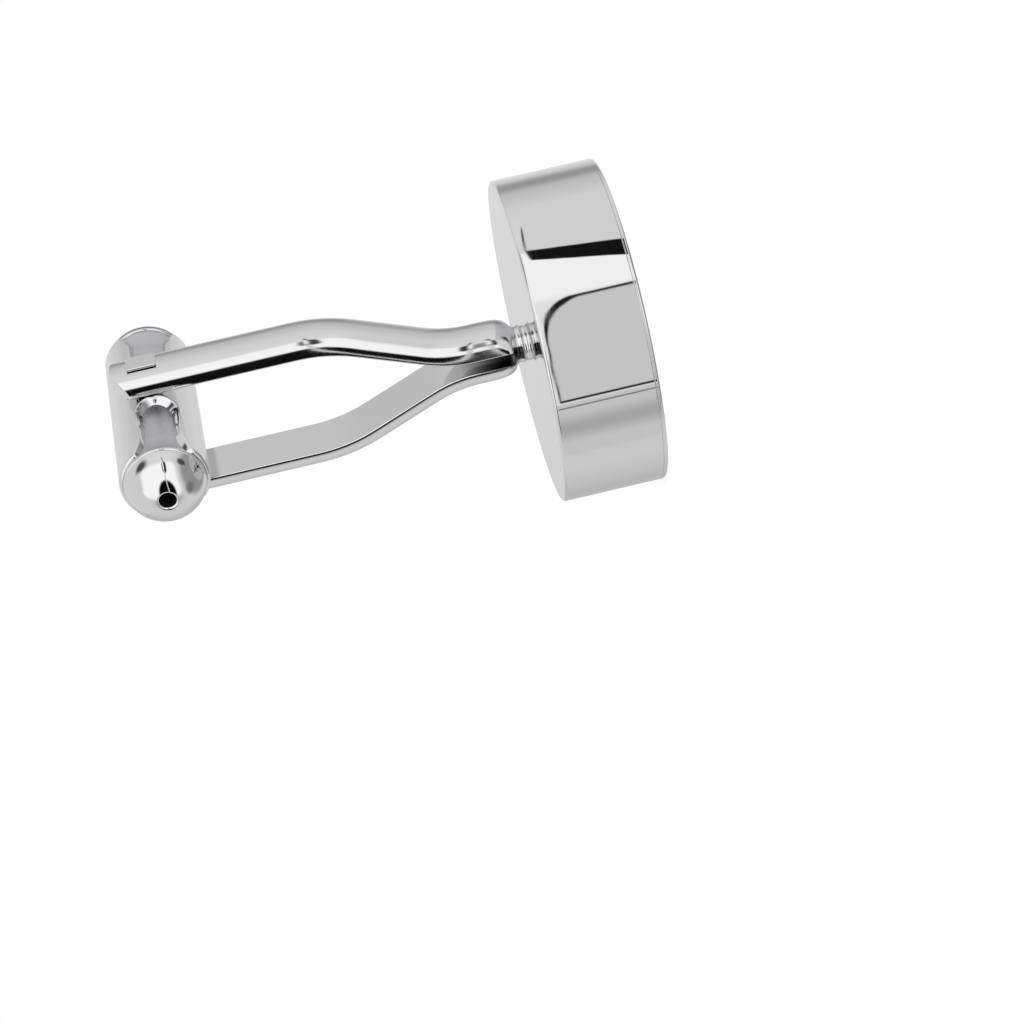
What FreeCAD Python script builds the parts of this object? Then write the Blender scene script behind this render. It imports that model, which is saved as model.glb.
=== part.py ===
import FreeCAD, Part
import math
import os

import Sketcher

# A cufflink with a swivelling bullet toggle, standing on the face of its head.
# The stem rises along +Z from the centre of the face, the pivot pin lies along X and, at rest,
# the toggle bar lies across the stem along Y. All sizes are in millimetres.
SIZES = {
    "head_radius": 9.0,
    "head_height": 5.7,
    "head_wall": 0.9,
    "head_base": 1.0,
    "face_rim": 0.24,
    "face_plate": 1.1,
    "face_bevel": 0.14,
    "back_edge": 0.16,
    "cup_corner": 0.6,
    "stud_shank": 0.9,
    "stud_peen": 1.35,
    "peen_height": 0.35,
    "stud_foot": 1.02,
    "foot_height": 0.06,
    "stud_waist": 0.92,
    "waist_height": 0.14,
    "stud_collar": 1.12,
    "collar_height": 0.06,
    "stud_length": 0.3,
    "tenon_radius": 0.5,
    "tenon_length": 0.3,
    "strip_width": 3.03,
    "strip_depth": 1.14,
    "strip_crown": 0.1,
    "strip_round": 0.62,
    "strip_edge": 0.1,
    "bar_play": 0.59,
    "bar_clear": 0.15,
    "slot_gap": 0.35,
    "slot_web": 0.5,
    "shoulder_rise": 1.9,
    "shoulder_room": 0.19,
    "shoulder_round": 5.0,
    "splay_rise": 6.35,
    "swing_room": 1.85,
    "splay_bend": 7.0,
    "arm_bend": 8.0,
    "pin_height": 26.3,
    "arm_end": 1.78,
    "pin_flats": 1.6,
    "pin_sides": 1.24,
    "corner_rise": 0.175,
    "pin_proud": 0.2,
    "pin_play": 0.03,
    "bar_radius": 2.4,
    "bar_half": 6.15,
    "bar_edge": 0.2,
    "sleeve_wall": 0.45,
    "core_wall": 0.6,
    "waist_from": 1.3,
    "core_land": 0.5,
    "waist_arc": 30.0,
    "arch_start": 1.4,
    "arch_half": 1.03,
    "window_drop": 0.33,
    "bell_length": 1.6,
    "bell_web": 0.75,
    "bell_arc": 2.9,
    "nose_step": 0.2,
    "nose_ring": 0.25,
    "ring_round": 0.05,
    "ring_groove": 0.1,
    "groove_width": 0.08,
    "dome_step": 0.03,
    "dome_height": 1.51,
    "dome_arc": 2.2,
    "nose_hole": 0.5,
    "nose_wall": 0.45,
    "nose_cavity": 1.15,
    "spigot_length": 1.1,
    "spring_leaf": 0.2,
    "spring_play": 0.01,
    "spring_side": 0.7,
    "spring_bend": 3.4,
    "spring_tail": 4.2,
}

SHEET = "sizes"


class Length:
    """A number together with the sheet expression that gives it."""

    def __init__(self, value, text):
        self.value = value
        self.text = text

    def __add__(self, other):
        other = as_length(other)
        return Length(self.value + other.value, f"({self.text} + {other.text})")

    def __sub__(self, other):
        other = as_length(other)
        return Length(self.value - other.value, f"({self.text} - {other.text})")

    def __mul__(self, other):
        other = as_length(other)
        return Length(self.value * other.value, f"({self.text} * {other.text})")

    def __truediv__(self, other):
        other = as_length(other)
        return Length(self.value / other.value, f"({self.text} / {other.text})")

    def __neg__(self):
        return Length(-self.value, f"(-1 * {self.text})")


def as_length(number):
    """Gives a plain number the form of a Length."""
    return number if isinstance(number, Length) else Length(float(number), repr(float(number)))


def root(length):
    """The square root of a Length, as a Length."""
    return Length(math.sqrt(length.value), f"sqrt({length.text})")


def size(alias):
    """The sheet's cell of this name."""
    return Length(SIZES[alias], f"{SHEET}.{alias}")


def make_sheet(doc):
    """Writes every driving size to the spreadsheet, one aliased cell each."""
    sheet = doc.addObject("Spreadsheet::Sheet", SHEET)
    for row, (alias, value) in enumerate(SIZES.items(), start=1):
        sheet.set(f"A{row}", alias)
        sheet.set(f"B{row}", str(value))
        sheet.setAlias(f"B{row}", alias)
    doc.recompute()


def make_body(doc, label, height=None, slide=None):
    """A new body, lifted to a height if it is modelled about the pivot, and moved along X by a slide."""
    body = doc.addObject("PartDesign::Body", label)
    body.Label = label
    if height is not None:
        body.setExpression("Placement.Base.z", height.text)
    if slide is not None:
        body.setExpression("Placement.Base.x", slide.text)
    return body


def make_sketch(body, name, plane, lift=None):
    """A sketch on one of the body's own planes, raised along the plane's normal by lift."""
    sketch = body.newObject("Sketcher::SketchObject", name)
    origin_planes = [item for item in body.Origin.OriginFeatures if item.Role == plane]
    sketch.AttachmentSupport = [(origin_planes[0], "")]
    sketch.MapMode = "FlatFace"
    if lift is not None:
        sketch.setExpression("AttachmentOffset.Base.z", lift.text)
    return sketch


def arc_between(start, end, radius):
    """An arc of under a half circle from start to end; a negative radius bends it to the right."""
    chord = end - start
    middle = (start + end) * 0.5
    across = FreeCAD.Vector(-chord.y, chord.x, 0).normalize()
    reach = math.sqrt(max(radius * radius - chord.Length ** 2 / 4, 0.0))
    side = 1.0 if radius > 0 else -1.0
    centre = middle + across * reach * side
    bulge = centre - across * abs(radius) * side
    return Part.Arc(start, bulge, end)


def bind(sketch, kind, members, length):
    """Adds a dimension to the sketch and binds it to a Length."""
    index = sketch.addConstraint(Sketcher.Constraint(kind, *members, length.value))
    sketch.setExpression(f"Constraints[{index}]", length.text)


def place_point(sketch, edge, end, point):
    """Fixes one end of an edge at a point of Lengths."""
    for kind, axis, length in (("DistanceX", -2, point[0]), ("DistanceY", -1, point[1])):
        if length.value == 0.0:
            sketch.addConstraint(Sketcher.Constraint("PointOnObject", edge, end, axis))
        else:
            bind(sketch, kind, (edge, end), length)


def draw(sketch, points, arcs=None, closed=True):
    """Draws an outline through the points. arcs gives the radius of the edge that leaves a point."""
    arcs = arcs or {}
    places = [(as_length(x), as_length(y)) for x, y in points]
    vectors = [FreeCAD.Vector(x.value, y.value, 0) for x, y in places]
    count = len(places) if closed else len(places) - 1
    first = sketch.GeometryCount
    ends = []
    for step in range(count):
        start = vectors[step]
        end = vectors[(step + 1) % len(places)]
        if step in arcs:
            edge = sketch.addGeometry(arc_between(start, end, arcs[step].value))
            forward = sketch.getPoint(edge, 1).isEqual(start, 1e-6)
            ends.append((1, 2) if forward else (2, 1))
        else:
            edge = sketch.addGeometry(Part.LineSegment(start, end))
            ends.append((1, 2))
    for step in range(count):
        edge = first + step
        place_point(sketch, edge, ends[step][0], places[step])
        if step + 1 < count or closed:
            following = (step + 1) % count
            joined = (edge, ends[step][1], first + following, ends[following][0])
            sketch.addConstraint(Sketcher.Constraint("Coincident", *joined))
        else:
            place_point(sketch, edge, ends[step][1], places[step + 1])
        if step in arcs:
            radius = arcs[step]
            positive = radius if radius.value > 0 else -radius
            bind(sketch, "Radius", (edge,), positive)


def revolve(body, sketch, axis, feature="PartDesign::Revolution"):
    """Turns a sketch about one of its own axes, adding or cutting."""
    turned = body.newObject(feature, sketch.Name + "_turn")
    turned.Profile = sketch
    turned.ReferenceAxis = (sketch, [axis])
    turned.Angle = 360
    return turned


def pad_both_ways(body, sketch, length):
    """Pads a sketch by a length, half of it to each side."""
    pad = body.newObject("PartDesign::Pad", sketch.Name + "_pad")
    pad.Profile = sketch
    pad.setExpression("Length", length.text)
    pad.SideType = "Symmetric"
    return pad


def cut_both_ways(body, sketch):
    """Cuts a sketch right through the body on both sides."""
    pocket = body.newObject("PartDesign::Pocket", sketch.Name + "_cut")
    pocket.Profile = sketch
    pocket.SideType = "Symmetric"
    pocket.Type = "ThroughAll"
    return pocket


def draw_pin_section(sketch, height):
    """The pin's section: an oblong whose corners are turned to a circle, centred at a height."""
    flat, side = size("pin_flats") / 2, size("pin_sides") / 2
    corner = PIN_CORNER
    flat_end = root(corner * corner - flat * flat)
    side_end = root(corner * corner - side * side)
    steps = [(side, -side_end), (side, side_end), (flat_end, flat), (-flat_end, flat),
             (-side, side_end), (-side, -side_end), (-flat_end, -flat), (flat_end, -flat)]
    points = [(across, height + up) for across, up in steps]
    draw(sketch, points, {step: corner for step in (1, 3, 5, 7)})


# Heights along the stem that several pieces share.
BACK_FACE = size("head_height")
BASE_INSIDE = BACK_FACE - size("head_base")
FORK_SEAT = BACK_FACE + size("stud_length")
SLOT_END = FORK_SEAT + size("slot_web")
PIN_HEIGHT = size("pin_height")

# Radii and half widths of pieces that fit in or over each other.
CUP_BORE = size("head_radius") - size("head_wall")
PIN_CORNER = size("pin_flats") / 2 + size("corner_rise")
SLEEVE_BORE = size("bar_radius") - size("sleeve_wall")
CORE_BORE = SLEEVE_BORE - size("core_wall")
RING_RADIUS = size("bar_radius") - size("nose_step")
ARM_GAP = size("bar_radius") + size("bar_play")

# The bar is loose along its pin, and at rest it lies near the arm on the +X side.
BAR_SLIDE = size("bar_play") - size("bar_clear")

# Distances along the bar from its pivot: the nose's ring, its dome and the tip.
RING_END = size("bar_half") + size("nose_ring")
DOME_START = RING_END + size("groove_width")
BAR_TIP = DOME_START + size("dome_height")

# The arms are parallel only as far down as the tip of the bar swings between them.
SPLAY_END = PIN_HEIGHT - BAR_TIP - size("swing_room")
SPLAY_START = SPLAY_END - size("splay_rise")


def build_face_plate(doc):
    """The polished face: a disc with a spigot that fills the mouth of the cup."""
    body = make_body(doc, "face_plate")
    sketch = make_sketch(body, "face_section", "XZ_Plane")
    radius, bevel = size("head_radius"), size("face_bevel")
    draw(sketch, [(0, 0), (radius - bevel, 0), (radius, bevel), (radius, size("face_rim")),
                  (CUP_BORE, size("face_rim")), (CUP_BORE, size("face_plate")), (0, size("face_plate"))])
    revolve(body, sketch, "V_Axis")
    return body


def build_head_cup(doc):
    """The drawn cup that makes the side and the back of the head."""
    body = make_body(doc, "head_cup")
    sketch = make_sketch(body, "cup_section", "XZ_Plane")
    radius, edge, corner = size("head_radius"), size("back_edge"), size("cup_corner")
    shank = size("stud_shank")
    draw(sketch, [(shank, BASE_INSIDE), (CUP_BORE - corner, BASE_INSIDE), (CUP_BORE, BASE_INSIDE - corner),
                  (CUP_BORE, size("face_rim")), (radius, size("face_rim")), (radius, BACK_FACE - edge),
                  (radius - edge, BACK_FACE), (shank, BACK_FACE)],
         {1: -corner, 5: edge})
    revolve(body, sketch, "V_Axis")
    return body


def build_neck_stud(doc):
    """The turned stud between head and fork, peened over inside the cup."""
    body = make_body(doc, "neck_stud")
    sketch = make_sketch(body, "stud_section", "XZ_Plane")
    shank, peen, foot = size("stud_shank"), size("stud_peen"), size("stud_foot")
    waist, collar, tenon = size("stud_waist"), size("stud_collar"), size("tenon_radius")
    foot_top = BACK_FACE + size("foot_height")
    waist_top = BACK_FACE + size("waist_height")
    flare = foot - waist
    draw(sketch, [(0, BASE_INSIDE - size("peen_height")), (shank, BASE_INSIDE - size("peen_height")),
                  (peen, BASE_INSIDE), (shank, BASE_INSIDE), (shank, BACK_FACE), (foot, BACK_FACE),
                  (foot, foot_top), (waist, waist_top), (collar, FORK_SEAT - size("collar_height")),
                  (collar, FORK_SEAT), (tenon, FORK_SEAT), (tenon, FORK_SEAT + size("tenon_length")),
                  (0, FORK_SEAT + size("tenon_length"))],
         {6: -flare})
    revolve(body, sketch, "V_Axis")
    return body


def arm_route():
    """The line that the inner face of the strip follows, from one arm end round to the other."""
    gap, slot = ARM_GAP, size("slot_gap")
    low, high = SPLAY_START, SPLAY_END
    rise, run = size("splay_rise"), gap - slot
    slope = root(rise * rise + run * run)
    half_turn = run / (slope + rise)
    bend, arm = size("splay_bend") * half_turn, size("arm_bend") * half_turn
    up, out = rise / slope, run / slope
    right = [(gap, PIN_HEIGHT + size("arm_end")), (gap, high + arm), (gap - arm * out, high - arm * up),
             (slot + bend * out, low + bend * up), (slot, low - bend), (slot, SLOT_END + slot)]
    bottom = (as_length(0), SLOT_END)
    left = [(-x, y) for x, y in reversed(right)]
    arcs = {1: -size("arm_bend"), 3: size("splay_bend"), 5: -slot, 6: -slot,
            8: size("splay_bend"), 10: -size("arm_bend")}
    return right + [bottom] + left, arcs


def build_fork(doc):
    """The fork: one half-round strip folded in a U, its closed end turned down to the stud."""
    body = make_body(doc, "fork")
    route = make_sketch(body, "arm_route", "XZ_Plane")
    points, arcs = arm_route()
    draw(route, points, arcs, closed=False)
    section = make_sketch(body, "strip_section", "XY_Plane", PIN_HEIGHT + size("arm_end"))
    gap, half, edge = ARM_GAP, size("strip_width") / 2, size("strip_edge")
    depth, crown, turn = size("strip_depth"), size("strip_crown"), size("strip_round")
    shoulder = half - turn
    crown_arc = (shoulder * shoulder + crown * crown) / (crown * 2)
    side = gap + edge
    span = gap + depth - crown - side
    side_arc = (span * span + turn * turn) / (turn * 2)
    draw(section, [(gap, edge - half), (side, -half), (gap + depth - crown, -shoulder),
                   (gap + depth - crown, shoulder), (side, half), (gap, half - edge)],
         {1: side_arc, 2: crown_arc, 3: side_arc})
    doc.recompute()
    strip = body.newObject("PartDesign::AdditivePipe", "strip")
    strip.Profile = section
    strip.Spine = route
    strip.Mode = "Frenet"
    doc.recompute()
    ends = make_sketch(body, "arm_ends", "YZ_Plane")
    reach = size("arm_end")
    above = PIN_HEIGHT + reach * 2
    draw(ends, [(-reach, PIN_HEIGHT), (0, PIN_HEIGHT + reach), (reach, PIN_HEIGHT), (reach, above),
                (-reach, above)],
         {0: -reach, 1: -reach})
    cut_both_ways(body, ends)
    holes = make_sketch(body, "pin_holes", "YZ_Plane")
    draw_pin_section(holes, PIN_HEIGHT)
    cut_both_ways(body, holes)
    neck = make_sketch(body, "neck_turning", "XZ_Plane")
    collar, wide = size("stud_collar"), half + size("shoulder_room")
    top = FORK_SEAT + size("shoulder_rise")
    outside = wide + size("strip_depth")
    tenon_top = FORK_SEAT + size("tenon_length")
    below = FORK_SEAT - size("strip_depth")
    draw(neck, [(0, below), (outside, below), (outside, top), (wide, top), (collar, FORK_SEAT),
                (size("tenon_radius"), FORK_SEAT), (size("tenon_radius"), tenon_top), (0, tenon_top)],
         {3: -size("shoulder_round")})
    revolve(body, neck, "V_Axis", "PartDesign::Groove")
    return body


def build_pivot_pin(doc):
    """The flat-sided pin, fixed in both arms, on which the bar turns."""
    body = make_body(doc, "pivot_pin", PIN_HEIGHT)
    sketch = make_sketch(body, "pin_section", "YZ_Plane")
    draw_pin_section(sketch, as_length(0))
    half = ARM_GAP + size("strip_depth") + size("pin_proud")
    pad_both_ways(body, sketch, half * 2)
    return body


def build_toggle_core(doc):
    """The tube inside the toggle: waisted where the windows show it."""
    body = make_body(doc, "toggle_core", PIN_HEIGHT, BAR_SLIDE)
    sketch = make_sketch(body, "core_section", "YZ_Plane")
    half, waist = size("bar_half"), -size("waist_arc")
    near, far = size("waist_from"), half - size("core_land")
    draw(sketch, [(-half, CORE_BORE), (half, CORE_BORE), (half, SLEEVE_BORE), (far, SLEEVE_BORE),
                  (near, SLEEVE_BORE), (-near, SLEEVE_BORE), (-far, SLEEVE_BORE), (-half, SLEEVE_BORE)],
         {3: waist, 5: waist})
    revolve(body, sketch, "H_Axis")
    cut_pin_bore(body)
    return body


def cut_pin_bore(body):
    """The round hole that the pin's corners turn in."""
    bore = make_sketch(body, body.Name + "_bore", "YZ_Plane")
    radius = PIN_CORNER + size("pin_play")
    bore.addGeometry(Part.Circle(FreeCAD.Vector(0, 0, 0), FreeCAD.Vector(0, 0, 1), radius.value))
    bore.addConstraint(Sketcher.Constraint("Coincident", 0, 3, -1, 1))
    bind(bore, "Radius", (0,), radius)
    cut_both_ways(body, bore)


def build_toggle_sleeve(doc):
    """The outer shell of the toggle, with a bell-shaped window over each half, a little toward the head."""
    body = make_body(doc, "toggle_sleeve", PIN_HEIGHT, BAR_SLIDE)
    sketch = make_sketch(body, "sleeve_section", "YZ_Plane")
    half, radius, edge = size("bar_half"), size("bar_radius"), size("bar_edge")
    draw(sketch, [(-half, SLEEVE_BORE), (half, SLEEVE_BORE), (half, radius - edge), (half - edge, radius),
                  (edge - half, radius), (-half, radius - edge)],
         {2: edge, 4: edge})
    revolve(body, sketch, "H_Axis")
    for name, side in (("near_windows", -1), ("far_windows", 1)):
        window = make_sketch(body, name, "YZ_Plane")
        arch = size("arch_half")
        crown, spring = size("arch_start") * side, (size("arch_start") + arch) * side
        flare, mouth = (half - size("bell_length")) * side, (half + edge) * side
        bell, drop = radius - size("bell_web"), size("window_drop")
        steps = [(crown, as_length(0)), (spring, arch), (flare, arch), (mouth, bell), (mouth, -bell),
                 (flare, -arch), (spring, -arch)]
        draw(window, [(along, across - drop) for along, across in steps],
             {0: arch * -side, 2: size("bell_arc") * side, 4: size("bell_arc") * side, 6: arch * -side})
        cut_both_ways(body, window)
    cut_pin_bore(body)
    return body


def build_nose(doc, label, side):
    """A domed cap that closes one end of the toggle, with a ring at its base and a hole at its tip."""
    body = make_body(doc, label, PIN_HEIGHT, BAR_SLIDE)
    sketch = make_sketch(body, label + "_section", "YZ_Plane")
    half, turn, hole = size("bar_half"), size("ring_round"), size("nose_hole")
    groove, dome = RING_RADIUS - size("ring_groove"), RING_RADIUS - size("dome_step")
    bore, seat = CORE_BORE - size("nose_wall"), half - size("spigot_length")
    cavity = half + size("nose_cavity")
    steps = [(seat, bore), (seat, CORE_BORE), (half, CORE_BORE),
             (half, RING_RADIUS - turn), (half + turn, RING_RADIUS), (RING_END - turn, RING_RADIUS),
             (RING_END, RING_RADIUS - turn), (RING_END, groove), (DOME_START, groove), (DOME_START, dome),
             (BAR_TIP, hole), (cavity, hole), (cavity - hole, bore)]
    bulge = -1 * side
    draw(sketch, [(along * side, out) for along, out in steps],
         {3: turn * bulge, 5: turn * bulge, 9: size("dome_arc") * bulge})
    revolve(body, sketch, "H_Axis")
    return body


def build_detent_spring(doc):
    """The hairpin spring inside the core that grips the pin's flats and clicks at each quarter turn."""
    body = make_body(doc, "detent_spring", PIN_HEIGHT, BAR_SLIDE)
    sketch = make_sketch(body, "spring_section", "YZ_Plane")
    inner = size("pin_flats") / 2 + size("spring_play")
    outer = inner + size("spring_leaf")
    tail, bend = size("spring_tail"), -size("spring_bend")
    draw(sketch, [(tail, inner), (tail, outer), (bend, outer), (bend - outer, 0), (bend, -outer),
                  (tail, -outer), (tail, -inner), (bend, -inner), (bend - inner, 0), (bend, inner)],
         {2: outer, 3: outer, 7: -inner, 8: -inner})
    pad_both_ways(body, sketch, (CORE_BORE - size("spring_side")) * 2)
    return body


def check(doc, bodies):
    """Stops the build if any object failed or any piece has no sound solid."""
    failed = [item.Name for item in doc.Objects if {"Invalid", "Error"} & set(item.State)]
    unsound = [body.Label for body in bodies if body.Shape.isNull() or not body.Shape.isValid()]
    if failed or unsound:
        raise RuntimeError(f"failed objects {failed}, unsound pieces {unsound}")


def main():
    doc = FreeCAD.newDocument("cufflink")
    make_sheet(doc)
    bodies = [build_face_plate(doc), build_head_cup(doc), build_neck_stud(doc), build_fork(doc),
              build_pivot_pin(doc), build_toggle_core(doc), build_toggle_sleeve(doc),
              build_nose(doc, "near_nose", -1), build_nose(doc, "far_nose", 1), build_detent_spring(doc)]
    doc.recompute()
    check(doc, bodies)
    os.makedirs("parts", exist_ok=True)
    for body in bodies:
        body.Shape.exportStep(f"parts/{body.Label}.step")
        box = body.Shape.BoundBox
        print(f"{body.Label}: {body.Shape.Volume:.3f} mm3, x {box.XMin:.2f} to {box.XMax:.2f},",
              f"y {box.YMin:.2f} to {box.YMax:.2f}, z {box.ZMin:.2f} to {box.ZMax:.2f}")


main()
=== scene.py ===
"""A cufflink with a swivelling bullet toggle, polished and plated, standing on its face."""
import math
from types import SimpleNamespace
from typing import NamedTuple

import bmesh
import bpy
from bpy.props import FloatProperty, FloatVectorProperty, IntProperty, PointerProperty
from mathutils import Matrix, Vector
from mathutils.bvhtree import BVHTree


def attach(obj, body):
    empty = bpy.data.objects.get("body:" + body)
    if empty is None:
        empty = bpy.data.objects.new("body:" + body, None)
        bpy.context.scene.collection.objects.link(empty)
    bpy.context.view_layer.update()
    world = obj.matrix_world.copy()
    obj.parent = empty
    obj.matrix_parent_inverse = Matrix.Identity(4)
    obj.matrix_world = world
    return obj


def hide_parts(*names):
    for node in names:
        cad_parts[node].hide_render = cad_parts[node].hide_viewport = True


bl_info = {
    "name": "Bullet-back cufflink",
    "version": (1, 0, 0),
    "blender": (4, 5, 0),
    "location": "View3D > Sidebar > Cufflink",
    "description": "Builds the polished pieces of a cufflink around its measured frame",
    "category": "Object",
}

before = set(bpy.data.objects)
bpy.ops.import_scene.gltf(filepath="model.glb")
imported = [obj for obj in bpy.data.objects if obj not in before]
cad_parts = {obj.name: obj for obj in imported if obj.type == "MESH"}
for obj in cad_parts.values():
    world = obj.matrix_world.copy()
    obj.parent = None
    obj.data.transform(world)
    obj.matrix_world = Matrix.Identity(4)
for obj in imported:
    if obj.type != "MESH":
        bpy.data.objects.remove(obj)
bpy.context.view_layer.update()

MILLIMETRE = 0.001


def linear(code):
    """Turns an sRGB hex colour to linear red, green and blue."""
    channels = [int(code[index:index + 2], 16) / 255 for index in (1, 3, 5)]
    return [c / 12.92 if c <= 0.04045 else ((c + 0.055) / 1.055) ** 2.4 for c in channels]


def length(key, millimetres, description):
    """A size that a user may change, named after its key and held in metres."""
    return FloatProperty(name=key.replace("_", " ").capitalize(), description=description,
                         default=millimetres * MILLIMETRE, min=0.0, precision=6, unit="LENGTH")


def colour(name, code, description):
    """A colour that a user may change."""
    return FloatVectorProperty(name=name, description=description, default=linear(code),
                               min=0.0, max=1.0, subtype="COLOR")


# Every size in millimetres, the same as the measured frame's, with what it is.
SIZES = {
    "head_radius": (9.0, "Radius of the round head"),
    "head_height": (5.7, "From the face to the back of the head"),
    "head_wall": (0.9, "Thickness of the cup's side"),
    "head_base": (1.0, "Thickness of the cup's back"),
    "face_rim": (0.24, "Height of the face plate's rim, below the seam"),
    "face_plate": (1.1, "Thickness of the face plate with its spigot"),
    "face_bevel": (0.14, "Bevel round the front face"),
    "back_edge": (0.16, "Rounding of the back edge"),
    "seam_edge": (0.035, "Rounding of the two edges that meet at the seam"),
    "stud_shank": (0.9, "Radius of the stud inside the cup's back"),
    "stud_peen": (1.35, "Radius of the peened end inside the cup"),
    "peen_height": (0.35, "Height of the peened end"),
    "stud_foot": (1.02, "Radius of the stud where it meets the head"),
    "stud_hollow": (0.09, "Depth of the hollow round the stud"),
    "stud_collar": (1.12, "Radius of the collar under the fork"),
    "stud_length": (0.3, "From the head's back to the fork"),
    "tenon_radius": (0.5, "Radius of the tenon in the fork"),
    "tenon_length": (0.3, "Length of the tenon in the fork"),
    "strip_width": (3.03, "Width of the strip that the fork is folded from"),
    "strip_depth": (1.14, "Thickness of the strip at its crown"),
    "strip_crown": (0.1, "Rise of the strip's outer face"),
    "strip_round": (0.62, "Width of the rounded sides"),
    "strip_edge": (0.1, "Rounding of the strip's inner edges"),
    "bar_play": (0.59, "Room between the bar and each arm"),
    "bar_clear": (0.15, "Room left on the side that the bar rests near"),
    "slot_gap": (0.35, "Half the gap between the strip's halves at the neck"),
    "slot_web": (0.5, "Metal under the end of the gap"),
    "face_rise": (1.0, "Height over which the fork's faces narrow to its foot"),
    "side_rise": (0.3, "Height over which the fork's sides narrow to its foot"),
    "foot_height": (0.42, "Height of the fork's round foot on the stud"),
    "foot_groove": (0.12, "Depth of the groove round the foot"),
    "splay_rise": (6.35, "Height over which the arms splay"),
    "swing_room": (1.85, "Room under the bar's tip as it swings"),
    "splay_bend": (7.0, "Radius of the lower bend"),
    "arm_bend": (8.0, "Radius of the upper bend"),
    "pin_height": (26.3, "From the face to the pivot pin"),
    "arm_end": (1.78, "Radius of the rounded arm ends"),
    "arm_edge": (0.08, "Rounding of the arm ends' edges"),
    "pin_flats": (1.6, "Across the pin's flats, along the stem"),
    "pin_sides": (1.24, "Across the pin's sides, along the bar"),
    "corner_rise": (0.175, "Rise of the pin's corners above its flats"),
    "pin_proud": (0.2, "How far the pin stands out of each arm"),
    "pin_edge": (0.09, "Rounding of the pin's ends"),
    "pin_play": (0.03, "Clearance of the bar on the pin"),
    "bore_lip": (0.3, "Width of the rounded lip of the pin's bore"),
    "bar_radius": (2.4, "Radius of the toggle bar"),
    "bar_half": (6.15, "From the pivot to the end of the sleeve"),
    "bar_edge": (0.2, "Rounding of the sleeve's ends"),
    "sleeve_wall": (0.45, "Thickness of the sleeve"),
    "core_wall": (0.6, "Thickness of the core"),
    "waist_from": (1.3, "From the pivot to the core's waist"),
    "waist_arc": (30.0, "Radius of the core's waist"),
    "arch_start": (1.4, "From the pivot to the window's arch"),
    "arch_half": (1.03, "Half the width of the arch"),
    "window_drop": (0.33, "How far the windows lie toward the head"),
    "bell_length": (1.6, "Length over which the window flares"),
    "bell_web": (0.75, "What is left of the sleeve beside the window's mouth"),
    "bell_arc": (2.9, "Radius of the window's flare"),
    "arch_roll": (0.42, "Width of the rolled lip at the window's arch"),
    "side_roll": (0.26, "Width of the rolled lip at the window's sides"),
    "lip_sink": (0.1, "How far the lip reaches into the core"),
    "mouth_rise": (0.14, "How far the core flares at the window's mouth"),
    "mouth_length": (1.5, "Length over which the core flares"),
    "nose_step": (0.2, "How far the ring lies inside the sleeve's radius"),
    "nose_ring": (0.25, "Width of the ring"),
    "ring_round": (0.11, "Rounding of the ring"),
    "ring_groove": (0.12, "Depth of the groove beside the ring"),
    "groove_width": (0.08, "Width of that groove"),
    "dome_step": (0.03, "How far the dome lies inside the ring's radius"),
    "dome_height": (1.51, "Height of the dome"),
    "dome_arc": (2.2, "Radius of the dome's curve"),
    "nose_hole": (0.44, "Radius of the hole in the tip"),
    "hole_edge": (0.14, "Rounding of the hole's rim"),
    "nose_wall": (0.45, "Wall of the nose's spigot"),
    "nose_cavity": (1.15, "Depth of the hollow behind the dome"),
    "spigot_length": (1.1, "How far the nose reaches into the core"),
}


class CufflinkSizes(bpy.types.PropertyGroup):
    """Sizes of every piece"""

    __annotations__ = {key: length(key, *row) for key, row in SIZES.items()}


class CufflinkFinish(bpy.types.PropertyGroup):
    """Colours of the finishes, the painted shades and the floor, and how finely a turned piece is cut."""

    plating: colour("Plating", "#D5D5D6", "Mirror-bright silver-coloured plating")
    satin: colour("Satin", "#C4C4C6", "Satin plating that was never buffed")
    # Painted shade inside the tip holes, not a colour of the brass: near black so that the holes look black.
    drilled: colour("Tip hole shade", "#2A2825", "Bare brass inside the tip holes, tarnished")
    # Painted shade, not a colour of the plating: the fork's slot darkens to this toward its end.
    dull: colour("Painted slot shade", "#3C3C3E", "Plating at the end of the fork's slot, out of the wheel's reach")
    spring: colour("Spring", "#8F9194", "Bright rolled spring steel")
    floor: colour("Floor", "#FFFFFF", "Seamless white paper")
    turns: IntProperty(name="Facets", description="Steps round a turned piece", default=288,
                       min=48, max=720)


def sizes():
    """All sizes in millimetres, with those that follow from others."""
    group = bpy.context.scene.cufflink_sizes
    s = SimpleNamespace(**{key: getattr(group, key) / MILLIMETRE for key in SIZES})
    s.cup_bore = s.head_radius - s.head_wall
    s.base_inside = s.head_height - s.head_base
    s.fork_seat = s.head_height + s.stud_length
    s.slot_end = s.fork_seat + s.slot_web
    s.pin_corner = s.pin_flats / 2 + s.corner_rise
    s.sleeve_bore = s.bar_radius - s.sleeve_wall
    s.core_bore = s.sleeve_bore - s.core_wall
    s.ring_radius = s.bar_radius - s.nose_step
    s.arm_gap = s.bar_radius + s.bar_play
    s.bar_slide = s.bar_play - s.bar_clear
    s.ring_end = s.bar_half + s.nose_ring
    s.dome_start = s.ring_end + s.groove_width
    s.bar_tip = s.dome_start + s.dome_height
    s.splay_end = s.pin_height - s.bar_tip - s.swing_room
    s.splay_start = s.splay_end - s.splay_rise
    return s


# Steps along an outline's arcs in radians, with the fewest for one arc, along its lines in millimetres, and
# the number round a small edge.
ARC_STEP = math.radians(4.0)
LEAST_STEPS = 5
LINE_STEP = 0.25
EDGE_STEPS = 6
# Lengths below this count as none, and points closer than the next are one.
TINY = 1e-6
MERGE = 1e-5
# How much longer than needed a cutter is, or an arm before its end is cut.
OVERCUT = 1.2


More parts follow.
